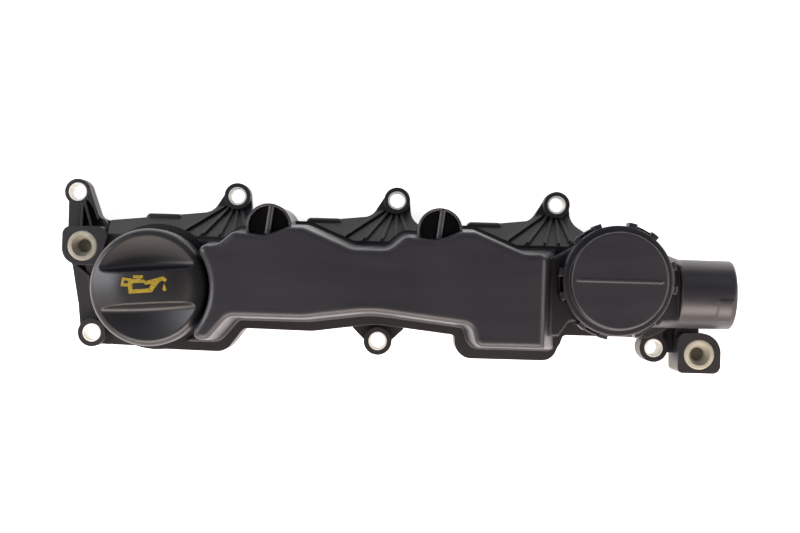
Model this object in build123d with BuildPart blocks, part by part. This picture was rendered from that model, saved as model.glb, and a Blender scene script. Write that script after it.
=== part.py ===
from build123d import *
import os
from math import cos, sin, radians, tan

# Engine valve cover with built-in oil separator, filler cap and crankcase pressure regulator.
# Origin: middle of the rear bolt row, on the sealing face.  X along the engine, Y to the
# rear bolts, Z away from the cylinder head.  Millimetres.

# ---------------------------------------------------------------- driving sizes
# Joint to the cylinder head
bolt_pitch = 88.0
rear_bolts = 4
boss_r = 7.2
boss_top = 10.0
front_boss_r = 7.7
tall_boss_top = 16.0
sleeve_r = 5.0
sleeve_bore_r = 4.0
front_left_boss = (9.7, -77.4)  # from the first rear bolt
front_mid_boss = (-8.6, -77.7)  # from the third rear bolt
front_right_boss = (54.4, -77.0)  # from the last rear bolt
rear_edge_y = -9.0
rear_notch_y = -15.6
front_y = -85.0
waist_y = -72.0
flange_top = 5.5
plateau_inset = 8.2
groove_inset = 2.6
groove_width = 3.2
groove_depth = 3.6
gasket_gap = 0.15

# Lower moulding
wall = 2.5
ledge_top = 24.0
ledge_rear = 1.8
shoulder_left = 20.0
shoulder_right = 18.0
shoulder_foot_y = -5.5
shoulder_crest_y = -23.0
rib_width = 1.4
rib_rise = 1.8
end_web_width = 6.6
bar_length = 20.0
bar_width = 5.5
bar_top = 14.0
bar_y = -13.5
bar_edge_r = 2.0

# Oil separator chamber
dome_top = 67.0
dome_draft = 3.5
dome_edge_r = 3.0
weld_lip = 0.9
weld_lip_height = 1.8
dome_rear_y = -25.4
dome_crest_y = -15.0
dome_front_y = -78.9
dome_waist_y = -66.8
dome_end_slope = 13.0
dome_end_dx = -11.0  # top of the sloped end wall, from the last rear bolt
tower_dx = 22.6
tower_y = -17.4
tower_r = 11.65
tower_top = 62.0
tower_rib = 2.6
tower_rib_rise = 1.0
tower_rib_angle = -7.0
tower_rim = 1.2
tower_core = 12.0

# Oil filler
filler_dx = 48.0
filler_y = -50.8
platform_r = 34.0
well_gap = 2.7
neck_r = 27.0
neck_top = 46.0
neck_bore_r = 21.5
neck_lip = 7.0
cap_r = 30.7
cap_wall = 2.5
cap_gap = 0.6
cap_foot = 38.0
cap_rim_top = 54.0
cap_top = 60.0
grip_width = 16.5
grip_angle = 4.2
scoop_depth = 10.0
scoop_sphere_r = 80.0
scoop_wall_angle = 15.0
scoop_foot_r = 3.0
grip_edge_r = 1.2
lug_angle = 36.0
lug_height = 3.0
o_ring_r = 1.6

# Pressure regulator
regulator_dx = 28.0
regulator_y = -40.7
bowl_r = 27.0
bowl_top = 50.5
bowl_floor = 34.5
seat_r = 9.0
seat_bore_r = 7.0
seat_top = 46.5
throat_top = 44.0
lid_ring_r = 28.8
lid_disc_r = 25.4
lid_ring_top = 55.5
lid_top = 61.0
clips = 6
clip_start = 4.6
clip_half_angle = 13.0
clip_block_half = 4.2
clip_reach = 31.0
clip_foot = 44.6
clip_bar_height = 5.0
plate_r = 13.5
plate_z = 50.4
plate_thickness = 1.5
rubber = 1.0
spring_r = 10.6
spring_wire = 1.1
spring_turns = 5
running_gap = 0.2

# Breather outlet
outlet_y = -46.8
outlet_z = 33.0
outlet_r = 18.3
outlet_wall = 2.5
outlet_root = 34.0
outlet_end = 63.4
outlet_mouth_r = 1.6
flare_rise = 2.5
flare_shift = 2.5
outlet_flat = (53.2, 7.9)  # start from the regulator, length
outlet_flat_rise = 0.9

# Grommets for the engine's styling cover
grommet_r = 8.15
grommet_bore_r = 3.6
grommet_depth = 10.0
pad_top = 28.0
arm_foot = 2.0
link_top = 20.0
left_pad = (7.6, -29.8)
right_pad = (76.7, -79.2)

# Parts inside
tray_width = 26.0
tray_y = -44.0
tray_top = 60.0
tray_walls = 9
sheet = 2.0
window_size = (22.0, 12.0)
baffle_width = 30.0
baffle_z = 12.0
baffle_posts = 3
post_r = 3.5
pin_r = 1.5
drain_r = 2.0
drain_hole_r = 1.3
drain_circle_r = 4.6
valve_r = 7.0

# ---------------------------------------------------------------- places worked out
bolt_x = [(i - (rear_bolts - 1) / 2) * bolt_pitch for i in range(rear_bolts)]
left, right = bolt_x[0], bolt_x[-1]
cap_x = left + filler_dx
tower_x = [x + tower_dx for x in bolt_x[1:-1]]
reg_x = right + regulator_dx
roof_under = ledge_top - wall
well_r = cap_r + well_gap
mid_x = bolt_x[2] + front_mid_boss[0]
rear_bosses = [(x, 0.0) for x in bolt_x]
low_front_bosses = [(left + front_left_boss[0], front_left_boss[1]), (mid_x, front_mid_boss[1])]
tall_boss = (right + front_right_boss[0], front_right_boss[1])
left_pad_at = (left + left_pad[0], left_pad[1])
right_pad_at = (right + right_pad[0], right_pad[1])
towers_at = [(x, tower_y) for x in tower_x]
tray_left, tray_right = bolt_x[1] + 8, right - 24
windows = [(x + 18, tray_y) for x in bolt_x[1:-1]]
drains = [(x + 44, tray_y) for x in bolt_x[1:-1]]
baffle_centre = ((tray_left + tray_right) / 2, tray_y)
post_pitch = (tray_right - tray_left - 28) / (baffle_posts - 1)


def outline(*corners):
    """Closed face through (x, y, corner radius) points."""
    points = [(x, y) for x, y, r in corners]
    radii = [r for x, y, r in corners]
    with BuildSketch() as sketch:
        with BuildLine():
            FilletPolyline(*points, radius=radii, close=True)
        make_face()
    return sketch.sketch


# ---------------------------------------------------------------- plans
# Sealing outline: saw-toothed along the rear, waisted along the front
flange_plan = outline(
    (left - 4.0, -6.0, 6),
    *[c for b in bolt_x[:-1] for c in ((b + 17, rear_notch_y, 8), (b + 74, rear_edge_y, 12))],
    (right + 9.0, -10.5, 7),
    (right + 22.0, -22.0, 8),
    (reg_x + 32.0, -26.0, 6),
    (reg_x + 32.5, -66.0, 4),
    (reg_x + 22.0, -71.0, 4),
    (right + 3.6, -71.0, 3),
    (right - 2.0, front_y, 8),
    (bolt_x[2] + 34.0, front_y, 9),
    (bolt_x[2] + 33.0, waist_y - 0.5, 2),
    (bolt_x[2] - 10.0, waist_y + 4.2, 50),
    (bolt_x[1] + 44.0, waist_y - 0.6, 30),
    (bolt_x[1] + 7.0, waist_y, 4),
    (bolt_x[1] - 2.5, front_y, 9),
    (left + 19.5, front_y + 1.1, 4),
    (left + 0.8, waist_y + 11, 6),
    (left - 3.4, -38.0, 20),
)


def rear_lug(x):
    """Web that carries a rear bolt boss: a wing on its left, a short flank on its right."""
    return outline(
        (x - boss_r + 0.3, 2.0, 0),
        (x - 13.6, rear_edge_y + 0.2, 8),
        (x - 24.0, rear_edge_y - 1.5, 0),
        (x - 24.0, rear_notch_y - 4, 0),
        (x + 16.0, rear_notch_y - 4, 0),
        (x + 15.6, rear_notch_y + 0.2, 0),
        (x + 8.2, rear_notch_y + 5.4, 9),
        (x + boss_r - 0.1, 0.5, 0),
    )


end_lug = outline(
    (left - 4.8, -2.0, 0),
    (left - 4.8, rear_notch_y - 9, 0),
    (left + 20.0, rear_notch_y - 9, 0),
    (left + 20.0, rear_notch_y - 0.2, 0),
    (left + 13.0, rear_notch_y + 0.6, 6),
    (left + boss_r - 0.6, 3.0, 0),
)

# Flange with the webs of the rear bosses
with BuildSketch() as rim_sketch:
    add(flange_plan)
    add(end_lug)
    for boss_x in bolt_x[1:]:
        add(rear_lug(boss_x))
rim_plan = rim_sketch.sketch

# Foot of the separator chamber: two crests and a dip around each tower
dome_plan = outline(
    (cap_x + 8.0, dome_rear_y, 0),
    *[
        c
        for t in tower_x
        for c in (
            (t - 27, dome_rear_y, 7),
            (t - 18.5, dome_crest_y - 3, 7),
            (t - 1, dome_crest_y - 4.6, 12),
            (t + 9.5, dome_crest_y, 7),
            (t + 18.5, dome_crest_y, 7),
            (t + 44, dome_rear_y, 10),
        )
    ],
    (right + 2.0, dome_rear_y, 3),
    (right + 4.5, dome_waist_y + 3.3, 3),
    (right - 0.8, dome_front_y, 7),
    (bolt_x[2] + 40.8, dome_front_y, 7),
    (bolt_x[2] + 37.8, dome_waist_y - 1.0, 3),
    (bolt_x[2] - 12.0, dome_waist_y + 4.6, 70),
    (bolt_x[1] + 42.0, dome_waist_y, 30),
    (bolt_x[1] + 4.5, dome_waist_y, 4),
    (bolt_x[1] - 5.5, dome_front_y, 7),
    (cap_x + 8.0, dome_front_y, 0),
)

# Weld ledge at the top of the lower moulding
with BuildSketch() as ledge_sketch:
    add(flange_plan)
    with Locations((cap_x, front_y - 20)):
        Rectangle(
            4 * bolt_pitch, 20 - front_y + dome_rear_y - 4, align=(Align.MIN, Align.MIN), mode=Mode.INTERSECT
        )
    add(dome_plan)
    with Locations((cap_x, filler_y)):
        Circle(platform_r)
    with Locations((reg_x, regulator_y)):
        Circle(bowl_r + ledge_rear)
    with Locations(*towers_at):
        Circle(tower_r)
ledge_plan = ledge_sketch.sketch + offset(dome_plan, amount=ledge_rear)

# Throat between the chamber and the regulator bowl
throat_plan = outline(
    (right - 16.0, dome_rear_y - 4.6, 0),
    (right - 5.0, dome_rear_y - 4.6, 9),
    (right + 9.0, regulator_y + 19.0, 0),
    (reg_x, regulator_y, 0),
    (reg_x, regulator_y - bowl_r + 4, 0),
    (right + 4.6, dome_waist_y + 4.2, 3),
    (right - 1.0, dome_waist_y - 4, 0),
    (right - 16.0, dome_waist_y - 4, 0),
)


def prism(plan, low, high, inset=0.0):
    """Upright block on a plan, drawn in by inset."""
    with BuildPart() as block:
        with BuildSketch(Plane.XY.offset(low)):
            add(plan)
            if inset:
                offset(amount=-inset)
        extrude(amount=high - low)
    return block.part


def dome(inset):
    """The separator chamber, drawn in by inset, with the filler cap's well cut into its end."""
    with BuildPart() as chamber:
        add(prism(dome_plan, ledge_top, dome_top - inset, inset))
        sides = [f for f in chamber.faces() if abs(f.normal_at().Z) < 0.5]
        draft(sides, neutral_plane=Plane.XY.offset(ledge_top), angle=dome_draft)
        if not inset:
            add(prism(dome_plan, ledge_top, ledge_top + weld_lip_height, -weld_lip))
        with BuildSketch(Plane.XY.offset(ledge_top)):
            with Locations((cap_x, filler_y)):
                Circle(well_r + inset)
        extrude(amount=dome_top, mode=Mode.SUBTRACT)
        end_slope = (1, 0, tan(radians(dome_end_slope)))
        split(bisect_by=Plane((right + dome_end_dx - inset, 0, dome_top), z_dir=end_slope), keep=Keep.BOTTOM)
        if not inset:
            uprights = chamber.edges().filter_by(lambda e: e.bounding_box().size.Z > 0.5 * dome_top)
            ends = [e for e in uprights if e.center().X < cap_x + well_r - 5 or e.center().X > right - 8]
            fillet(ends, dome_edge_r + 0.5)
            fillet(chamber.edges().group_by(Axis.Z)[-1], dome_edge_r)
    return chamber.part


def shoulder(inset, rise):
    """Sloped roof from the foot of the rear bosses up to the ledge."""
    with BuildPart() as wedge:
        add(prism(rim_plan, flange_top, ledge_top + rise, inset))
        with BuildSketch(Plane.YZ.offset(left + shoulder_left + inset)):
            with BuildLine():
                Polyline(
                    (shoulder_foot_y, 0),
                    (shoulder_foot_y, flange_top + rise),
                    (shoulder_crest_y, ledge_top + rise),
                    (shoulder_crest_y - 20, ledge_top + rise),
                    (shoulder_crest_y - 20, 0),
                    close=True,
                )
            make_face()
        extrude(amount=right + shoulder_right - left - shoulder_left - 2 * inset, mode=Mode.INTERSECT)
    return wedge.part


def turned(*profile):
    """Solid of revolution about Z through (radius, height, corner radius) points."""
    with BuildPart() as lathe:
        with BuildSketch(Plane.XZ):
            add(outline(*profile))
        revolve(axis=Axis.Z)
    return lathe.part


def sector(outer, inner, centre, half):
    """Part of a ring, half degrees to each side of the centre angle."""
    with BuildSketch() as cut:
        Circle(outer)
        if inner:
            Circle(inner, mode=Mode.SUBTRACT)
        far = 2 * outer
        edges = [(far * cos(radians(centre + d)), far * sin(radians(centre + d))) for d in (-half, half)]
        Polygon((0, 0), *edges, align=None, mode=Mode.INTERSECT)
    return cut.sketch


# ---------------------------------------------------------------- lower moulding
fan = ((18.0, 21), (0.0, 22), (-19.0, 28), (-38.0, 32), (-54.0, 35))  # rib angle, reach from the bolt
with BuildSketch() as fan_sketch:
    for boss_x in bolt_x[1:]:
        for angle, reach in fan:
            with Locations(Location((boss_x, 0), angle)):
                Rectangle(rib_width, reach, align=(Align.CENTER, Align.MAX))

# Ribs at the left end, each from one point to another, measured from the first rear bolt
end_ribs = (
    ((3.1, -6.0), (2.9, -22.0)),
    ((4.2, -5.0), (9.4, -22.0)),
    ((6.0, -3.0), (23.0, -26.0)),
    ((6.2, 2.0), (12.4, -15.0)),
    ((-1.6, -39.4), (10.3, -48.4)),
    ((17.0, -22.0), (29.0, -28.5)),
)
with BuildSketch() as end_rib_sketch:
    for start, stop in end_ribs:
        with BuildLine():
            spine = Line((left + start[0], start[1]), (left + stop[0], stop[1]))
        middle = spine @ 0.5
        with Locations(Location((middle.X, middle.Y), spine.tangent_angle_at(0))):
            Rectangle(spine.length, rib_width)

with BuildPart() as shoulder_bar:
    with BuildSketch():
        SlotOverall(bar_length, bar_width)
    extrude(amount=bar_top - flange_top)
    fillet(shoulder_bar.faces().sort_by(Axis.Z)[-1].edges(), bar_edge_r)

with BuildPart() as cover_body:
    # Flange, bosses and the lobes under the towers and the regulator
    with BuildSketch():
        add(rim_plan)
        mid_y = front_mid_boss[1]
        lug = [
            (mid_x - 14, waist_y + 1),
            (mid_x - 14, waist_y + 6),
            (mid_x + 14, waist_y + 6),
            (mid_x + 14, waist_y + 1),
        ]
        Polygon(*lug, (mid_x + front_boss_r - 0.6, mid_y), (mid_x - front_boss_r + 0.6, mid_y), align=None)
        corner = [(left + 0.8, waist_y + 12), (left + 2.4, waist_y - 3), (left + 7.5, front_y + 1.5)]
        Polygon(*corner, (left + 19.5, front_y + 1.1), align=None)
        with Locations((reg_x, regulator_y)):
            Circle(bowl_r + ledge_rear)
    extrude(amount=flange_top)
    with BuildSketch():
        with Locations(*rear_bosses):
            Circle(boss_r)
        with Locations(*low_front_bosses, tall_boss):
            Circle(front_boss_r)
        with Locations(*towers_at):
            Circle(tower_r)
        with Locations((left - 4.8, -3)):
            Rectangle(end_web_width, -rear_notch_y + 4, align=(Align.MIN, Align.MAX))
    extrude(amount=boss_top)
    add(prism(flange_plan, 0, boss_top, plateau_inset))
    add(prism(ledge_plan, 0, ledge_top))
    add(shoulder(0, 0))

    # Fan ribs over the shoulder, ribs at the left end, and the long bars on the shoulder's foot
    add(prism(fan_sketch.sketch, flange_top, ledge_top) & shoulder(0, rib_rise))
    add(prism(end_rib_sketch.sketch, flange_top - 1, boss_top + rib_rise) & prism(rim_plan, 0, ledge_top))
    with Locations(*[(boss_x + 48.5, bar_y, flange_top) for boss_x in bolt_x[:-1]]):
        add(shoulder_bar.part)

    # Tall boss, grommet pads and the arm out to the right pad
    with BuildSketch():
        with Locations(tall_boss):
            Circle(front_boss_r)
        with Locations((tall_boss[0], tall_boss[1] + 8)):
            Rectangle(10, 12)
    extrude(amount=tall_boss_top)
    px, py = left_pad_at
    left_pad_plan = outline(
        (px - 11.2, py + 10.4, 4.5),
        (px + 9.5, py + 10.8, 3),
        (px + 13.2, py + 5.0, 1.5),
        (px + 8.6, py - 10.4, 7),
        (px - 11.2, py - 10.4, 9),
    )
    add(prism(left_pad_plan, 0, pad_top))
    px, py = right_pad_at
    right_pad_plan = outline(
        (px - 11.3, py - 10.2, 2.7), (px + 11.7, py - 10.2, 4.3), (px + 11.7, py + 11.5, 10.7),
        (px - 11.3, py + 11.5, 4),
    )
    arm_plan = outline(
        (tall_boss[0] - 4, tall_boss[1] + 8, 0),
        (reg_x + 26, outlet_y, 0),
        (reg_x + 40, outlet_y - 4, 3),
        (px + 1.2, py + 18, 2),
        (px + 1.2, py + 5, 0),
        (px - 11, py - 0.4, 0),
        (px - 13.5, py - 0.4, 1),
        (tall_boss[0] + 5, tall_boss[1] + 1, 0),
    )
    link_plan = outline(
        (px - 11.3, py + 18, 1), (px + 1.2, py + 18, 1), (px + 1.2, py + 8, 0), (px - 11.3, py + 8, 0)
    )
    add(prism(right_pad_plan, arm_foot, pad_top))
    add(prism(arm_plan, arm_foot, boss_top))
    add(prism(link_plan, arm_foot, link_top))

    # Filler neck
    with BuildSketch(Plane.XY.offset(ledge_top)):
        with Locations((cap_x, filler_y)):
            Circle(neck_r)
    extrude(amount=neck_top - ledge_top)

    # Underside: open hollows that leave the flange, the walls and the roof
    add(prism(flange_plan, 0, boss_top - wall, plateau_inset + wall), mode=Mode.SUBTRACT)
    add(prism(ledge_plan, flange_top, roof_under, wall), mode=Mode.SUBTRACT)
    add(shoulder(wall, -wall), mode=Mode.SUBTRACT)
    add(prism(right_pad_plan, 0, pad_top - grommet_depth - wall, wall), mode=Mode.SUBTRACT)
    add(prism(arm_plan, 0, boss_top - wall, wall), mode=Mode.SUBTRACT)

    # Groove for the gasket
    groove = prism(flange_plan, 0, groove_depth, groove_inset) - prism(
        flange_plan, 0, groove_depth, groove_inset + groove_width
    )
    add(groove, mode=Mode.SUBTRACT)

    # Filler bore: a lip with two slots for the cap's lugs, wider below it
    with BuildSketch(Plane.XY.offset(roof_under)):
        with Locations((cap_x, filler_y)):
            Circle(neck_r - wall)
    extrude(amount=neck_top - neck_lip - roof_under, mode=Mode.SUBTRACT)
    with BuildSketch(Plane.XY.offset(roof_under)):
        with Locations((cap_x, filler_y)):
            Circle(neck_bore_r)
            for side in (90, 270):
                add(sector(neck_r - wall, 0, grip_angle + side, lug_angle / 2 + 3))
    extrude(amount=neck_top - roof_under, mode=Mode.SUBTRACT)

    # Separator inlet windows and drains through the roof, and the posts of the splash baffle
    with BuildSketch(Plane.XY.offset(roof_under)):
        with Locations(*windows):
            RectangleRounded(*window_size, 3)
        with Locations(*drains):
            Circle(drain_r)
            with PolarLocations(drain_circle_r, 6):
                Circle(drain_hole_r)
    extrude(amount=wall, mode=Mode.SUBTRACT)
    with BuildSketch(Plane.XY.offset(baffle_z + sheet)):
        with Locations(baffle_centre):
            with GridLocations(post_pitch, baffle_width - 8, baffle_posts, 2):
                Circle(post_r)
    extrude(amount=ledge_top - sheet - baffle_z - 1)
    with BuildSketch(Plane.XY.offset(baffle_z - 1)):
        with Locations(baffle_centre):
            with GridLocations(post_pitch, baffle_width - 8, baffle_posts, 2):
                Circle(pin_r)
    extrude(amount=sheet + 2)

    # Bolt holes and grommet pockets
    with BuildSketch():
        with Locations(*rear_bosses, *low_front_bosses, tall_boss):
            Circle(sleeve_r)
    extrude(amount=tall_boss_top, mode=Mode.SUBTRACT)
    with BuildSketch(Plane.XY.offset(pad_top)):
        with Locations(left_pad_at, right_pad_at):
            Circle(grommet_r)
    extrude(amount=-grommet_depth, mode=Mode.SUBTRACT)


# ---------------------------------------------------------------- separator cover
pipe_plane = Plane((reg_x, outlet_y, outlet_z), x_dir=(0, 1, 0), z_dir=(1, 0, 0))
with BuildPart() as flare:
    # Collar that narrows from the bowl to the pipe, kept clear of the lid's clips
    with BuildSketch(pipe_plane.offset(bowl_r - 6)):
        with Locations((flare_shift, 0)):
            Circle(outlet_r + flare_rise)
    with BuildSketch(pipe_plane.offset(outlet_root + 1)):
        Circle(outlet_r)
    loft(ruled=True)
    with BuildSketch(Plane.XY.offset(ledge_top)):
        with Locations((reg_x + outlet_root, outlet_y)):
            Rectangle(40, 60)
    extrude(amount=throat_top - ledge_top, mode=Mode.INTERSECT)

with BuildPart() as outlet_pipe:
    with BuildSketch(pipe_plane.offset(outlet_root)):
        Circle(outlet_r)
    extrude(amount=outlet_end - outlet_root)
    fillet(outlet_pipe.edges().sort_by(Axis.X)[-1], outlet_mouth_r)
    # Raised flat that keys the hose
    with BuildSketch(pipe_plane.offset(outlet_flat[0])):
        add(sector(outlet_r + outlet_flat_rise, outlet_r - 1, 117.5, 19.5))
    extrude(amount=outlet_flat[1])

with BuildPart() as towers:
    # Cored from above, with one rib left across
    with BuildSketch(Plane.XY.offset(ledge_top)):
        with Locations(*towers_at):
            Circle(tower_r)
    extrude(amount=tower_top - ledge_top)
    with BuildSketch(Plane.XY.offset(tower_top)):
        with Locations(*towers_at):
            Circle(tower_r - tower_rim)
    extrude(amount=-tower_core, mode=Mode.SUBTRACT)
    with BuildSketch(Plane.XY.offset(tower_top - tower_core)):
        with Locations(*[Location(at, tower_rib_angle) for at in towers_at]):
            Rectangle(tower_rib, 2 * tower_r - 0.5)
    extrude(amount=tower_core + tower_rib_rise)

with BuildPart() as separator_cover:
    add(dome(0))
    add(towers.part)
    add(prism(throat_plan, ledge_top, throat_top))
    add(flare.part)
    with BuildSketch(Plane.XY.offset(ledge_top)):
        with Locations((reg_x, regulator_y)):
            Circle(bowl_r)
    extrude(amount=bowl_top - ledge_top)
    add(outlet_pipe.part)

    # Hollow: chamber, towers, throat and pipe
    add(dome(wall), mode=Mode.SUBTRACT)
    with BuildSketch(Plane.XY.offset(ledge_top)):
        with Locations(*towers_at):
            Circle(tower_r - wall)
    extrude(amount=tower_top - tower_core - wall - ledge_top, mode=Mode.SUBTRACT)
    add(prism(throat_plan, ledge_top, throat_top - wall, wall), mode=Mode.SUBTRACT)
    with BuildSketch(pipe_plane.offset(outlet_root + outlet_wall)):
        Circle(outlet_r - outlet_wall)
    extrude(amount=outlet_end - outlet_root, mode=Mode.SUBTRACT)

    # Regulator bowl: wall, floor, seat tube, and the passage on to the pipe
    with BuildSketch(Plane.XY.offset(ledge_top)):
        with Locations((reg_x, regulator_y)):
            Circle(bowl_r)
    extrude(amount=bowl_top - ledge_top)
    with BuildSketch(Plane.XY.offset(ledge_top)):
        with Locations((reg_x, regulator_y)):
            Circle(bowl_r - wall)
    extrude(amount=bowl_floor - wall - ledge_top, mode=Mode.SUBTRACT)
    with BuildSketch(Plane.XY.offset(bowl_floor)):
        with Locations((reg_x, regulator_y)):
            Circle(bowl_r - wall)
            Circle(seat_r, mode=Mode.SUBTRACT)
    extrude(amount=bowl_top - bowl_floor, mode=Mode.SUBTRACT)
    with BuildSketch(Plane.XY.offset(seat_top)):
        with Locations((reg_x, regulator_y)):
            Circle(seat_r)
    extrude(amount=bowl_top - seat_top, mode=Mode.SUBTRACT)
    with BuildSketch(Plane.XY.offset(ledge_top)):
        with Locations((reg_x, regulator_y)):
            Circle(seat_bore_r)
        with Locations((right, regulator_y - 4)):
            Rectangle(reg_x - right, 22, align=(Align.MIN, Align.CENTER))
    extrude(amount=bowl_floor - wall - ledge_top, mode=Mode.SUBTRACT)
    with BuildSketch(Plane.XY.offset(ledge_top)):
        with Locations((reg_x, regulator_y)):
            Circle(seat_bore_r)
    extrude(amount=seat_top - ledge_top, mode=Mode.SUBTRACT)
    with BuildSketch(Plane.XY.offset(bowl_floor)):
        with Locations((reg_x + seat_r + 4, outlet_y)):
            Rectangle(outlet_root + wall + 1 - seat_r - 4, 20, align=(Align.MIN, Align.CENTER))
    extrude(amount=throat_top - wall - bowl_floor, mode=Mode.SUBTRACT)

    # Catches for the lid's clips
    with BuildSketch(Plane.XY.offset(clip_foot + 1.4)):
        with Locations((reg_x, regulator_y)):
            for i in range(clips):
                add(sector(lid_ring_r + 0.6, bowl_r - 0.5, clip_start + i * 360 / clips, clip_half_angle / 2))
    extrude(amount=1.8)


# ---------------------------------------------------------------- pressure regulator
lid_inner_r = bowl_r + running_gap
lid_wall = 2.2
bead_r = lid_inner_r - 2.4
bead_top = plate_z + plate_thickness + rubber
clip_angles = [clip_start + i * 360 / clips for i in range(clips)]
with BuildPart() as regulator_lid:
    add(
        turned(
            (lid_inner_r, clip_foot + 3.4, 0),
            (lid_ring_r, clip_foot + 3.4, 0),
            (lid_ring_r, lid_ring_top, 0.8),
            (lid_disc_r, lid_ring_top, 0),
            (lid_disc_r, lid_top, 1.2),
            (0, lid_top, 0),
            (0, lid_top - lid_wall, 0),
            (lid_disc_r - lid_wall, lid_top - lid_wall, 0),
            (lid_disc_r - lid_wall, bead_top, 0),
            (lid_inner_r, bead_top, 0),
        )
    )
    tab_in, tab_out = lid_inner_r + 0.1, lid_ring_r - 0.1
    window = clip_half_angle / 2 + 1
    with BuildSketch(Plane.XY.offset(clip_foot)):
        for angle in clip_angles:
            for side in (-1, 1):
                post = (clip_half_angle + window) / 2
                add(sector(tab_out, tab_in, angle + side * post, (clip_half_angle - window) / 2))
    extrude(amount=4)
    with BuildSketch(Plane.XY.offset(clip_foot)):
        for angle in clip_angles:
            add(sector(tab_out, tab_in, angle, clip_half_angle))
    extrude(amount=1.2)
    with BuildSketch(Plane.XY.offset(clip_foot)):
        for angle in clip_angles:
            for side in (-1, 1):
                block_at = angle + side * (clip_half_angle - 1)
                add(sector(clip_reach, lid_ring_r - 0.7, block_at, clip_block_half))
    extrude(amount=lid_ring_top - clip_foot - 1)
    with BuildSketch(Plane.XY.offset(clip_foot)):
        for angle in clip_angles:
            add(sector(clip_reach - 0.6, lid_ring_r + 0.8, angle, clip_half_angle - clip_block_half))
    extrude(amount=clip_bar_height)
    with BuildSketch(Plane.XY.offset(lid_top - 0.2)):
        Rectangle(44.5, 1.3)
    extrude(amount=0.6)
regulator_lid.part.locate(Location((reg_x, regulator_y, 0)))

# The rubber diaphragm: bead under the lid, rolling fold, flat centre on the plate
fold_in, fold_out = plate_r + 1.5, bead_r - 2.5
fold_top = bead_top + 2.5
centre_z = plate_z + plate_thickness
with BuildPart() as regulator_diaphragm:
    add(
        turned(
            (0, centre_z, 0),
            (fold_in + rubber, centre_z, 0.5),
            (fold_in + rubber, fold_top - rubber, 0.8),
            (fold_out - rubber, fold_top - rubber, 0.8),
            (fold_out - rubber, bowl_top + 0.4, 0.5),
            (bead_r, bowl_top + 0.4, 0),
            (bead_r, bowl_top, 0),
            (lid_inner_r - running_gap, bowl_top, 0),
            (lid_inner_r - running_gap, bead_top, 0),
            (bead_r, bead_top, 0),
            (bead_r, bowl_top + 0.4 + rubber, 0),
            (fold_out, bowl_top + 0.4 + rubber, 0),
            (fold_out, fold_top, 1.5),
            (fold_in, fold_top, 1.5),
            (fold_in, centre_z + rubber, 0),
            (0, centre_z + rubber, 0),
        )
    )
regulator_diaphragm.part.locate(Location((reg_x, regulator_y, 0)))

with BuildPart() as regulator_plate:
    add(
        turned(
            (0, plate_z, 0),
            (spring_r + 1.2, plate_z, 0),
            (spring_r + 1.2, plate_z - 1.5, 0),
            (plate_r, plate_z - 1.5, 0),
            (plate_r, centre_z, 0.4),
            (0, centre_z, 0),
        )
    )
regulator_plate.part.locate(Location((reg_x, regulator_y, 0)))

spring_height = plate_z - bowl_floor
spring_rise = (spring_height - spring_wire) / spring_turns
with BuildPart() as regulator_spring:
    with BuildLine():
        coil = Helix(spring_rise, spring_rise * spring_turns, spring_r)
    with BuildSketch(Plane(coil @ 0, z_dir=coil % 0)):
        Circle(spring_wire / 2)
    sweep(path=coil)
regulator_spring.part.locate(Location((reg_x, regulator_y, bowl_floor + spring_wire / 2)))

# ---------------------------------------------------------------- oil filler cap
plug_r = neck_bore_r - cap_gap
plug_foot = neck_top - neck_lip - lug_height - 2.0
cap_under = neck_top + running_gap
groove_z = neck_top - neck_lip / 2
groove_r = neck_bore_r - 0.1 - 2 * o_ring_r
with BuildPart() as scoops:
    # Two shallow bowls, one on each side of the grip bar
    with Locations((0, 0, cap_top - scoop_depth + scoop_sphere_r)):
        Sphere(scoop_sphere_r)
    with BuildSketch(Plane.XY.offset(cap_top - scoop_depth)):
        Circle(cap_r)
    extrude(amount=scoop_depth, mode=Mode.INTERSECT)
    with BuildSketch(Plane.XY.offset(cap_top)):
        Rectangle(3 * cap_r, grip_width, rotation=grip_angle)
    extrude(amount=-scoop_depth, taper=-scoop_wall_angle, mode=Mode.SUBTRACT)
    feet = [e for e in scoops.edges() if e.center().Z < cap_top - scoop_depth / 2]
    fillet(feet, scoop_foot_r)

with BuildPart() as filler_cap:
    add(
        turned(
            (0, cap_top - scoop_depth - 2 * cap_wall, 0),
            (groove_r - cap_wall, cap_top - scoop_depth - 2 * cap_wall, 0),
            (groove_r - cap_wall, plug_foot, 0),
            (plug_r, plug_foot, 1),
            (plug_r, groove_z - o_ring_r, 0),
            (groove_r, groove_z - o_ring_r, 0),
            (groove_r, groove_z + o_ring_r, 0),
            (plug_r, groove_z + o_ring_r, 0),
            (plug_r, cap_under, 0),
            (cap_r - cap_wall, cap_under, 0),
            (cap_r - cap_wall, cap_foot, 0),
            (cap_r, cap_foot, 0.6),
            (cap_r, cap_rim_top - 0.6, 4.5),
            (cap_r * 0.55, cap_top - 0.8, 30),
            (0, cap_top, 0),
        )
    )
    # Finger scoops on both sides of the grip bar
    add(scoops.part, mode=Mode.SUBTRACT)
    crest = [
        edge
        for edge in filler_cap.edges().filter_by(lambda e: e.center().Z > cap_rim_top + 2)
        if abs(abs(edge.center().rotate(Axis.Z, -grip_angle).Y) - grip_width / 2) < 1
    ]
    fillet(crest, grip_edge_r)
    # Bayonet lugs
    with BuildSketch(Plane.XY.offset(plug_foot + 1.6)):
        for side in (0, 180):
            add(sector(neck_r - wall - 0.8, groove_r, grip_angle + side, lug_angle / 2))
    extrude(amount=lug_height)
filler_cap.part.locate(Location((cap_x, filler_y, 0)))

with BuildPart() as filler_cap_seal:
    with BuildSketch(Plane.XZ):
        with Locations((groove_r + o_ring_r, groove_z)):
            Circle(o_ring_r - 0.02)
    revolve(axis=Axis.Z)
filler_cap_seal.part.locate(Location((cap_x, filler_y, 0)))

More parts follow.
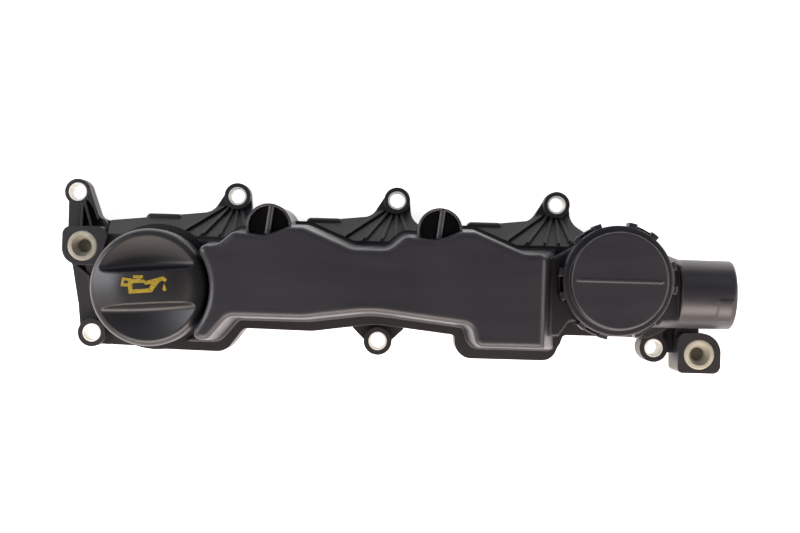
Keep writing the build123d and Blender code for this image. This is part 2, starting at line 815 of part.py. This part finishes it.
# ---------------------------------------------------------------- seals, sleeves and grommets
with BuildPart() as cover_gasket:
    add(prism(flange_plan, 0, groove_depth - gasket_gap, groove_inset + gasket_gap))
    add(
        prism(flange_plan, 0, groove_depth, groove_inset + groove_width - gasket_gap),
        mode=Mode.SUBTRACT,
    )


def sleeve(at, height):
    """Steel compression sleeve, chamfered at both ends."""
    with BuildPart() as tube:
        add(
            turned(
                (sleeve_bore_r, 0.3, 0),
                (sleeve_bore_r + 0.3, 0, 0),
                (sleeve_r, 0, 0),
                (sleeve_r, height, 0),
                (sleeve_bore_r + 0.3, height, 0),
                (sleeve_bore_r, height - 0.3, 0),
            )
        )
    tube.part.locate(Location((*at, 0)))
    return tube.part


def grommet(at):
    """Soft socket for the styling cover's ball stud."""
    with BuildPart() as socket:
        add(
            turned(
                (0, 0, 0),
                (grommet_r, 0, 0.6),
                (grommet_r, grommet_depth + 0.6, 0.9),
                (grommet_bore_r + 2.2, grommet_depth + 0.6, 0.4),
                (grommet_bore_r, grommet_depth - 5, 0.8),
                (grommet_bore_r, 1.5, 0),
                (0, 1.5, 0),
            )
        )
    socket.part.locate(Location((*at, pad_top - grommet_depth)))
    return socket.part


# ---------------------------------------------------------------- parts inside the separator

with BuildPart() as separator_tray:
    tray_length = tray_right - tray_left
    with BuildSketch(Plane.XY.offset(ledge_top)):
        with Locations((tray_left, tray_y)):
            Rectangle(tray_length, tray_width, align=(Align.MIN, Align.CENTER))
        with Locations(*windows):
            RectangleRounded(*window_size, 3, mode=Mode.SUBTRACT)
        with Locations(*drains):
            Circle(valve_r, mode=Mode.SUBTRACT)
    extrude(amount=sheet)
    # Labyrinth walls, long ones alternating from side to side
    with BuildSketch(Plane.XY.offset(ledge_top)):
        for i in range(tray_walls):
            side = 1 if i % 2 else -1
            x = tray_left + 1 + i * (tray_length - 2) / (tray_walls - 1)
            with Locations((x, tray_y + side * tray_width / 2)):
                flush = Align.MAX if side > 0 else Align.MIN
                Rectangle(sheet, 0.7 * tray_width, align=(Align.CENTER, flush))
    extrude(amount=tray_top - ledge_top)
    with BuildSketch(Plane.XY.offset(ledge_top)):
        with Locations(*windows):
            RectangleRounded(*window_size, 3)
        with Locations(*drains):
            Circle(valve_r)
    extrude(amount=sheet + 6, mode=Mode.SUBTRACT)

with BuildPart() as splash_baffle:
    with BuildSketch(Plane.XY.offset(baffle_z)):
        with Locations(baffle_centre):
            RectangleRounded(tray_right - tray_left - 14, baffle_width, 4)
            with GridLocations(post_pitch, baffle_width - 8, baffle_posts, 2):
                Circle(pin_r + 0.1, mode=Mode.SUBTRACT)
    extrude(amount=sheet)


def drain_valve(at):
    """Umbrella valve: a soft disc under the drain holes, held by its stem."""
    with BuildPart() as umbrella:
        add(
            turned(
                (0, roof_under - 1.6, 0),
                (valve_r - 3, roof_under - 1.6, 1),
                (valve_r - 0.4, roof_under - 0.6, 0.2),
                (valve_r - 0.4, roof_under, 0),
                (drain_r - 0.1, roof_under, 0),
                (drain_r - 0.1, ledge_top, 0),
                (drain_r + 0.8, ledge_top, 0),
                (drain_r - 0.6, ledge_top + 2.2, 0),
                (0, ledge_top + 2.2, 0),
            )
        )
    umbrella.part.locate(Location((*at, 0)))
    return umbrella.part


# ---------------------------------------------------------------- one file for each piece
parts = {
    "cover_body": cover_body.part,
    "separator_cover": separator_cover.part,
    "regulator_lid": regulator_lid.part,
    "regulator_diaphragm": regulator_diaphragm.part,
    "regulator_plate": regulator_plate.part,
    "regulator_spring": regulator_spring.part,
    "filler_cap": filler_cap.part,
    "filler_cap_seal": filler_cap_seal.part,
    "cover_gasket": cover_gasket.part,
    "separator_tray": separator_tray.part,
    "splash_baffle": splash_baffle.part,
    "grommet_left": grommet(left_pad_at),
    "grommet_right": grommet(right_pad_at),
}
places = [(at, boss_top) for at in rear_bosses + low_front_bosses] + [(tall_boss, tall_boss_top)]
for number, (at, height) in enumerate(places, 1):
    parts[f"bolt_sleeve_{number}"] = sleeve(at, height)
for number, at in enumerate(drains, 1):
    parts[f"drain_valve_{number}"] = drain_valve(at)

os.makedirs("parts", exist_ok=True)
for name, part in parts.items():
    part.label = name
    export_step(part, f"parts/{name}.step")
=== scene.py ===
"""Looks for an engine valve cover with its breather separator, regulator and oil filler cap."""
import math

import bpy
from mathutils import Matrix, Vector


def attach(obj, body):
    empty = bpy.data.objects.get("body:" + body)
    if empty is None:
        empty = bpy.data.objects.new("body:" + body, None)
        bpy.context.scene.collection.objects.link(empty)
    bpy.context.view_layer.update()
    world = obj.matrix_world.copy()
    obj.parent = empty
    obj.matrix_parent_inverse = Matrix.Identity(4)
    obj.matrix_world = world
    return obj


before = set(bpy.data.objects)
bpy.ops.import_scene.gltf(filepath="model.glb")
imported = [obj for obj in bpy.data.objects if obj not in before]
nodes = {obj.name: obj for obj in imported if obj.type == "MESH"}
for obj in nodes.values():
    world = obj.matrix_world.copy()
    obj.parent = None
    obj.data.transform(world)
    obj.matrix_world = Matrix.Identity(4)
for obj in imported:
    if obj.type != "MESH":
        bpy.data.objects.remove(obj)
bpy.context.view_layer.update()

MM = 0.001
WAVE_RADIANS = 20  # Blender's wave texture turns by this many radians for each unit of its scale

# ---------------------------------------------------------------- helpers


def linear(colour):
    """sRGB hex, such as "#3d3c40", to the linear RGBA that Blender's sockets take."""
    parts = [int(colour[i:i + 2], 16) / 255 for i in (1, 3, 5)]
    return [*(p / 12.92 if p <= 0.04045 else ((p + 0.055) / 1.055) ** 2.4 for p in parts), 1.0]


def add(material, kind, inputs=(), **settings):
    """Adds a node with its settings. Each (socket, value) pair sets an input, or links it to an output."""
    made = material.node_tree.nodes.new("ShaderNode" + kind)
    for key, value in settings.items():
        setattr(made, key, value)
    for key, value in inputs:
        if isinstance(value, bpy.types.NodeSocket):
            material.node_tree.links.new(value, made.inputs[key])
        else:
            made.inputs[key].default_value = value
    return made


def start(name):
    """A new node material: the material, its shader and its Object coordinates."""
    material = bpy.data.materials.new(name)
    material.use_nodes = True
    shader = material.node_tree.nodes["Principled BSDF"]
    return material, shader, add(material, "TexCoord").outputs["Object"]


def joined(material, shader, **sockets):
    """Links or sets the shader's own sockets, named with underscores for spaces."""
    for key, value in sockets.items():
        socket = shader.inputs[key.replace("_", " ")]
        if isinstance(value, bpy.types.NodeSocket):
            material.node_tree.links.new(value, socket)
        else:
            socket.default_value = value


def per_mm(size):
    """The texture scale at which one cell of a noise or voronoi pattern is this many millimetres."""
    return 1 / (size * MM)


# ---------------------------------------------------------------- materials


def glass_filled_nylon(name, colour, rubbed_and_highlit, dusty, roughness, grain, round_mm=0.55):
    """Polyamide 66 with a third of glass fibre, injection moulded against a spark-eroded steel tool.

    The eye sees a satin black with a fine even grain, faint clouds where the melt flowed and dust settled,
    and edges a little paler: partly where hands and packing rub them, partly a painted highlight given to
    every edge, concave ones too.
    """
    material, shader, here = start(name)
    rounded = add(material, "Bevel", [("Radius", round_mm * MM)], samples=6).outputs["Normal"]
    flat = add(material, "NewGeometry").outputs["Normal"]
    same = add(material, "VectorMath", [(0, rounded), (1, flat)], operation="DOT_PRODUCT").outputs["Value"]
    # Paler colour along convex and concave edges: a painted edge highlight, mixed with some rubbing wear
    edge = add(
        material, "MapRange", [("Value", same), ("From Min", 0.99), ("From Max", 0.86)]
    ).outputs["Result"]
    clouds = add(material, "TexNoise", [("Vector", here), ("Scale", per_mm(38)), ("Detail", 4.0)])
    cloud = add(
        material, "MapRange", [("Value", clouds.outputs["Fac"]), ("From Min", 0.35), ("From Max", 0.7)]
    ).outputs["Result"]
    # Flow lines run along the length that the melt filled
    stretched = add(material, "Mapping", [("Vector", here), ("Scale", (0.18, 1.0, 1.0))]).outputs["Vector"]
    flow = add(
        material, "TexNoise", [("Vector", stretched), ("Scale", per_mm(9)), ("Detail", 3.0)]
    ).outputs["Fac"]
    skin = add(
        material, "Mix", [("Factor", cloud), ("A", linear(colour)), ("B", linear(dusty))], data_type="RGBA"
    )
    worn_and_highlit = add(
        material, "Mix",
        [("Factor", edge), ("A", skin.outputs["Result"]), ("B", linear(rubbed_and_highlit))], data_type="RGBA",
    )
    # The eroded grain is 0.15 mm on the real tool, and 0.55 mm here so that it shows
    pits = add(
        material, "TexNoise", [("Vector", here), ("Scale", per_mm(0.55)), ("Detail", 2.0)]
    ).outputs["Fac"]
    matt = add(
        material, "MapRange",
        [("Value", flow), ("To Min", roughness - 0.05), ("To Max", roughness + 0.07)],
    ).outputs["Result"]
    bumped = add(
        material, "Bump",
        [("Strength", grain), ("Distance", 0.06 * MM), ("Height", pits), ("Normal", rounded)],
    ).outputs["Normal"]
    joined(
        material, shader, Base_Color=worn_and_highlit.outputs["Result"], Roughness=matt, Normal=bumped,
        IOR=1.53, Specular_IOR_Level=0.5,
    )
    return material


def natural_acetal(name):
    """Unpigmented acetal bush, moulded: milky cream, slightly waxy, dust-brown in the low spots."""
    material, shader, here = start(name)
    clouds = add(
        material, "TexNoise", [("Vector", here), ("Scale", per_mm(6)), ("Detail", 5.0)]
    ).outputs["Fac"]
    tone = add(material, "ValToRGB", [("Fac", clouds)])
    tone.color_ramp.elements[0].position = 0.32
    tone.color_ramp.elements[0].color = linear("#8b877a")
    tone.color_ramp.elements[1].position = 0.66
    tone.color_ramp.elements[1].color = linear("#a19e91")
    rounded = add(material, "Bevel", [("Radius", 0.4 * MM)], samples=4).outputs["Normal"]
    grain = add(material, "TexNoise", [("Vector", here), ("Scale", per_mm(0.7))]).outputs["Fac"]
    bumped = add(
        material, "Bump",
        [("Strength", 0.25), ("Distance", 0.05 * MM), ("Height", grain), ("Normal", rounded)],
    ).outputs["Normal"]
    joined(
        material, shader, Base_Color=tone.outputs["Color"], Roughness=0.46, Normal=bumped, IOR=1.48,
        Subsurface_Weight=0.12, Subsurface_Radius=(1.0, 0.8, 0.5), Subsurface_Scale=1.2 * MM,
    )
    return material


def zinc_plated_steel(name, colour, roughness, lay):
    """Turned or drawn mild steel with bright zinc: pale blue-grey metal with marks round its axis.

    The real marks are a few hundredths of a millimetre apart. Here one comes every 2 pi lays, so they show.
    """
    material, shader, here = start(name)
    marks = add(
        material, "TexWave",
        [("Vector", here), ("Scale", per_mm(lay) / WAVE_RADIANS), ("Distortion", 2.5), ("Detail", 2.0),
         ("Detail Scale", 2.0)],
        wave_type="BANDS", bands_direction="Z",
    ).outputs["Fac"]
    spots = add(
        material, "TexNoise", [("Vector", here), ("Scale", per_mm(1.5)), ("Detail", 3.0)]
    ).outputs["Fac"]
    matt = add(
        material, "MapRange", [("Value", spots), ("To Min", roughness - 0.08), ("To Max", roughness + 0.14)]
    ).outputs["Result"]
    bumped = add(
        material, "Bump", [("Strength", 0.3), ("Distance", 0.03 * MM), ("Height", marks)]
    ).outputs["Normal"]
    joined(material, shader, Base_Color=linear(colour), Metallic=1.0, Roughness=matt, Normal=bumped)
    return material


def moulded_rubber(name, colour, bloom):
    """Acrylic rubber seal, press moulded: dead black with a faint grey bloom and a soft, even surface."""
    material, shader, here = start(name)
    patches = add(
        material, "TexNoise", [("Vector", here), ("Scale", per_mm(11)), ("Detail", 6.0)]
    ).outputs["Fac"]
    veil = add(
        material, "MapRange", [("Value", patches), ("From Min", 0.45), ("From Max", 0.75)]
    ).outputs["Result"]
    tone = add(
        material, "Mix", [("Factor", veil), ("A", linear(colour)), ("B", linear(bloom))], data_type="RGBA"
    )
    grain = add(material, "TexNoise", [("Vector", here), ("Scale", per_mm(0.5))]).outputs["Fac"]
    bumped = add(
        material, "Bump", [("Strength", 0.35), ("Distance", 0.05 * MM), ("Height", grain)]
    ).outputs["Normal"]
    joined(
        material, shader, Base_Color=tone.outputs["Result"], Roughness=0.72, Normal=bumped, IOR=1.5,
        Sheen_Weight=0.08,
    )
    return material


def sign_ink(name):
    """Ochre pad-print ink on grained plastic: opaque yellow, thin in places so that the black tints it."""
    material, shader, here = start(name)
    thin = add(
        material, "TexNoise", [("Vector", here), ("Scale", per_mm(0.9)), ("Detail", 4.0)]
    ).outputs["Fac"]
    cover = add(
        material, "MapRange", [("Value", thin), ("From Min", 0.3), ("From Max", 0.62)]
    ).outputs["Result"]
    tone = add(
        material, "Mix",
        [("Factor", cover), ("A", linear("#66560b")), ("B", linear("#8c780b"))], data_type="RGBA",
    )
    bumped = add(
        material, "Bump", [("Strength", 0.3), ("Distance", 0.04 * MM), ("Height", thin)]
    ).outputs["Normal"]
    joined(material, shader, Base_Color=tone.outputs["Result"], Roughness=0.5, Normal=bumped)
    return material


body_nylon = glass_filled_nylon("body_nylon_spark_eroded", "#121115", "#2c2a2e", "#18171b", 0.44, 0.4)
# The real dome's front edge is rounder than its fillet here, so the shading rounds it further and its painted
# edge highlight is drawn wider
dome_nylon = glass_filled_nylon("separator_nylon_fine_grain", "#1b1a20", "#3a3840", "#201f25", 0.38, 0.3, 2.2)
cap_nylon = glass_filled_nylon("cap_nylon_satin", "#101013", "#2e2c31", "#161519", 0.38, 0.25, 1.2)
lid_nylon = glass_filled_nylon("lid_nylon_fine_grain", "#1b1a20", "#38363d", "#201f25", 0.38, 0.3, 1.0)
inner_nylon = glass_filled_nylon("inner_nylon_smooth", "#121112", "#2a292a", "#191818", 0.36, 0.2)
grommet_acetal = natural_acetal("grommet_acetal_cream")
sleeve_steel = zinc_plated_steel("sleeve_zinc_plated_steel", "#eceae6", 0.55, 0.4)
spring_steel = zinc_plated_steel("spring_drawn_steel", "#a9a8a4", 0.26, 0.3)
seal_rubber = moulded_rubber("seal_acrylic_rubber", "#161515", "#2a2928")
ochre_ink = sign_ink("oil_sign_ochre_ink")

finishes = {
    "cover_body": body_nylon,
    "separator_cover": dome_nylon,
    "regulator_lid": lid_nylon,
    "filler_cap": cap_nylon,
    "separator_tray": inner_nylon,
    "splash_baffle": inner_nylon,
    "regulator_plate": inner_nylon,
    "regulator_diaphragm": seal_rubber,
    "regulator_spring": spring_steel,
    "cover_gasket": seal_rubber,
    "filler_cap_seal": seal_rubber,
}
for name, piece in nodes.items():
    if name.startswith("bolt_sleeve"):
        finish = sleeve_steel
    elif name.startswith("grommet"):
        finish = grommet_acetal
    elif name.startswith("drain_valve"):
        finish = seal_rubber
    else:
        finish = finishes[name]
    piece.data.materials.clear()
    piece.data.materials.append(finish)

# ---------------------------------------------------------------- oil can sign on the cap's grip

SIGN_AT = (-84.0, -50.8)  # the cap's axis
SIGN_TURN = math.radians(4.2)  # the grip's angle
SIGN_THICKNESS = 0.12  # the ink's
SIGN_GAP = 0.01  # between the ink and the crown
SIGN_FROM = 70  # a height above the cap, from which the outlines are dropped on it
SIGN_REACH = 13  # no outline goes further than this from the cap's axis
# Corners in mm from the cap's axis, one closed outline per list: an outline inside another is a hole
SIGN_OUTLINES = {
    "can": [
        [(-11.9, 5.8), (-7.4, 5.0), (-0.6, 4.1), (0.3, 3.4), (3.3, 4.0), (8.8, 5.3), (9.8, 5.1),
         (11.1, 3.5), (10.2, 2.4), (8.6, 3.3), (7.2, 2.6), (3.1, -2.5), (-8.8, -2.8), (-9.1, 0.9),
         (-12.9, 1.3)],
        [(-10.9, 4.2), (-8.9, 3.8), (-9.1, 2.6), (-11.2, 2.8)],
        [(-6.8, 2.6), (-0.8, 2.5), (-0.2, 1.4), (3.1, 1.9), (1.7, -0.5), (-6.9, -0.7)],
    ],
    "can_lid": [
        [(-6.2, 6.6), (-1.1, 6.4), (-1.2, 4.9), (-2.5, 5.0), (-2.5, 4.2), (-4.5, 4.4), (-4.4, 5.1),
         (-6.2, 5.2)],
    ],
    "drop": [
        [(9.6, 1.8), (10.2, -0.3), (10.6, -1.4), (10.2, -2.1), (9.6, -2.3), (8.9, -2.0), (8.6, -1.3),
         (8.9, -0.2)],
    ],
}


def sign_piece(name, outlines):
    """A flat shape cut from its closed outlines, laid on the cap's crown and given its ink's thickness."""
    flat = bpy.data.curves.new(name, "CURVE")
    flat.dimensions = "2D"
    flat.fill_mode = "BOTH"
    for corners in outlines:
        line = flat.splines.new("POLY")
        line.points.add(len(corners) - 1)
        line.use_cyclic_u = True
        for point, (x, y) in zip(line.points, corners):
            point.co = (x * MM, y * MM, 0, 1)
    shape = bpy.data.objects.new(name, flat)
    bpy.context.scene.collection.objects.link(shape)
    bpy.ops.object.select_all(action="DESELECT")
    shape.select_set(True)
    bpy.context.view_layer.objects.active = shape
    bpy.ops.object.convert(target="MESH")
    shape = bpy.context.object
    shape.rotation_euler = (0, 0, SIGN_TURN)
    shape.location = (SIGN_AT[0] * MM, SIGN_AT[1] * MM, SIGN_FROM * MM)
    bpy.ops.object.transform_apply(location=True, rotation=True, scale=True)
    bpy.ops.object.mode_set(mode="EDIT")
    # Cut every millimetre, so that the shape can follow the crown's curve
    for step in range(-SIGN_REACH, SIGN_REACH + 1):
        bpy.ops.mesh.select_all(action="SELECT")
        place = ((SIGN_AT[0] + step) * MM, 0, 0)
        bpy.ops.mesh.bisect(plane_co=place, plane_no=(1, 0, 0))
    bpy.ops.mesh.select_all(action="SELECT")
    bpy.ops.mesh.normals_make_consistent(inside=False)
    bpy.ops.object.mode_set(mode="OBJECT")
    if shape.data.polygons[0].normal.z < 0:
        shape.data.flip_normals()
    laid = shape.modifiers.new("laid", "SHRINKWRAP")
    laid.target = nodes["filler_cap"]
    laid.wrap_method = "PROJECT"
    laid.use_project_x = laid.use_project_y = False
    laid.use_project_z = True
    laid.use_negative_direction = True
    laid.use_positive_direction = False
    laid.offset = SIGN_GAP * MM
    thick = shape.modifiers.new("thick", "SOLIDIFY")
    thick.thickness = SIGN_THICKNESS * MM
    thick.offset = 1
    for modifier in ("laid", "thick"):
        bpy.ops.object.modifier_apply(modifier=modifier)
    shape.data.materials.append(ochre_ink)
    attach(shape, "cap")


for part, outlines in SIGN_OUTLINES.items():
    sign_piece("oil_sign_" + part, outlines)

# ---------------------------------------------------------------- floor, light and camera

TABLE_SIZE = 1.5
TABLE_AT = (0.04, -0.04, -0.0006)  # just below the lowest point of the cover
TABLE_GLOW = 0.82
MIDDLE = (0.045, -0.04, 0.03)  # of the cover, which the lamps face
CAMERA_AT = (0.0466, -0.0363, 0.765)
CAMERA_TURN = math.radians(1.6)  # about the vertical: it looks straight down
FOCAL_LENGTH = 61.65
SENSOR_WIDTH = 36

bpy.ops.object.select_all(action="DESELECT")
bpy.ops.mesh.primitive_plane_add(size=TABLE_SIZE, location=TABLE_AT)
floor = bpy.context.object
floor.name = "floor"
table, table_shader, table_here = start("floor_backlit_opal_acrylic")
# An opal acrylic table lit from below: it fills the bolt holes with light and leaves hardly a shadow
grain = add(
    table, "TexNoise", [("Vector", table_here), ("Scale", per_mm(25)), ("Detail", 2.0)]
).outputs["Fac"]
opal = add(
    table, "Mix", [("Factor", grain), ("A", linear("#f4f4f4")), ("B", linear("#fafafa"))], data_type="RGBA"
)
joined(
    table, table_shader, Base_Color=opal.outputs["Result"], Roughness=0.8,
    Emission_Color=linear("#fffdfb"), Emission_Strength=TABLE_GLOW,
)
floor.data.materials.append(table)

# The tent round the table: dark round the camera overhead, bright lower down and dim again near the table,
# brighter and warm in front, dimmer and cool behind
world = bpy.data.worlds.new("tent")
bpy.context.scene.world = world
world.use_nodes = True
sky = world.node_tree.nodes["Background"]
direction = add(world, "SeparateXYZ", [(0, add(world, "TexCoord").outputs["Generated"])])
glow = add(
    world, "MapRange",
    [("Value", direction.outputs["Z"]), ("From Min", 0.66), ("From Max", 0.91), ("To Min", 1.05),
     ("To Max", 0.17)],
    interpolation_type="SMOOTHSTEP",
).outputs["Result"]
side = add(
    world, "MapRange", [("Value", direction.outputs["Y"]), ("From Min", -0.6), ("From Max", 0.5)]
).outputs["Result"]
front_bright = add(
    world, "MapRange", [("Value", side), ("To Min", 1.5), ("To Max", 0.3)]
).outputs["Result"]
above = add(
    world, "MapRange",
    [("Value", direction.outputs["Z"]), ("From Min", 0.0), ("From Max", 0.45), ("To Min", 0.25)],
).outputs["Result"]
strength = add(world, "Math", [(0, glow), (1, front_bright)], operation="MULTIPLY").outputs["Value"]
strength = add(world, "Math", [(0, strength), (1, above)], operation="MULTIPLY").outputs["Value"]
hue = add(
    world, "Mix", [("Factor", side), ("A", linear("#ffeddd")), ("B", linear("#f1f3ff"))], data_type="RGBA"
)
world.node_tree.links.new(hue.outputs["Result"], sky.inputs["Color"])
world.node_tree.links.new(strength, sky.inputs["Strength"])


def softbox(name, place, size, power, colour):
    """A rectangular soft light at a place, turned to face the cover's middle."""
    light = bpy.data.lights.new(name, "AREA")
    light.shape = "RECTANGLE"
    light.size, light.size_y = size
    light.energy = power
    light.color = colour
    lamp = bpy.data.objects.new(name, light)
    bpy.context.scene.collection.objects.link(lamp)
    lamp.location = place
    lamp.rotation_euler = (Vector(MIDDLE) - Vector(place)).to_track_quat("-Z", "Y").to_euler()


softbox("rear_high", (0.05, 1.15, 1.0), (1.8, 0.5), 1.5, (0.95, 0.97, 1.0))
softbox("front_strip", (0.1, -1.05, 0.75), (1.8, 0.5), 26, (1.0, 0.88, 0.8))
softbox("left_side", (-1.15, 0.2, 0.75), (0.5, 1.2), 14, (0.93, 0.95, 1.0))
softbox("right_side", (1.15, -0.1, 0.6), (0.5, 1.0), 6, (1.0, 0.94, 0.88))

lens = bpy.data.cameras.new("camera")
lens.lens = FOCAL_LENGTH
lens.sensor_width = SENSOR_WIDTH
lens.clip_start = 0.01
lens.clip_end = 20
camera = bpy.data.objects.new("camera", lens)
bpy.context.scene.collection.objects.link(camera)
camera.location = CAMERA_AT
camera.rotation_euler = (0, 0, CAMERA_TURN)
bpy.context.scene.camera = camera

bpy.context.scene.view_settings.view_transform = "Standard"
